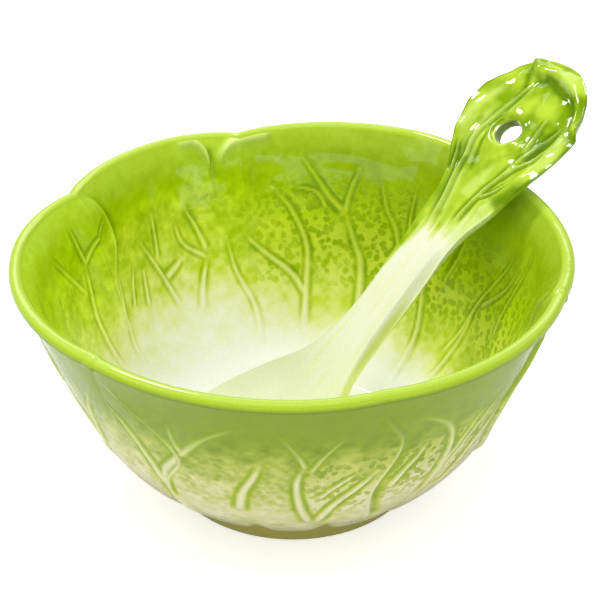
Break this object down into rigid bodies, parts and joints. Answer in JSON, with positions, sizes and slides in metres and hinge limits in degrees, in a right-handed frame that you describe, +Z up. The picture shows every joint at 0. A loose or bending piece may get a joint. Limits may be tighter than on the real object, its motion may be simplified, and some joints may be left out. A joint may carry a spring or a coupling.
{
  "type": "leaf bowl with spoon",
  "caption": "Round bowl shaped as overlapping cabbage leaves with a rolled lip and foot ring, and a leaf-handled spoon that leans in it and lifts out.",
  "frame": {"origin": "on the table, under the middle of the box round the bowl and its leaning spoon", "axes": "+Z up, out of the bowl; +X towards the side of the bowl that the spoon's handle leans over; +Y towards the back"},
  "size_m": [0.1636, 0.1564, 0.1033],
  "materials": {
    "leaf_glaze": "gloss",
    "stalk_glaze": "gloss"
  },
  "bodies": {
    "bowl": {"bowl": "leaf_glaze"},
    "spoon": {"spoon": "stalk_glaze"}
  },
  "joints": [
    {"name": "spoon_lift", "type": "slide", "parent": "bowl", "child": "spoon", "axis": [0, 0, 1], "range_m": [0, 0.1]}
  ]
}
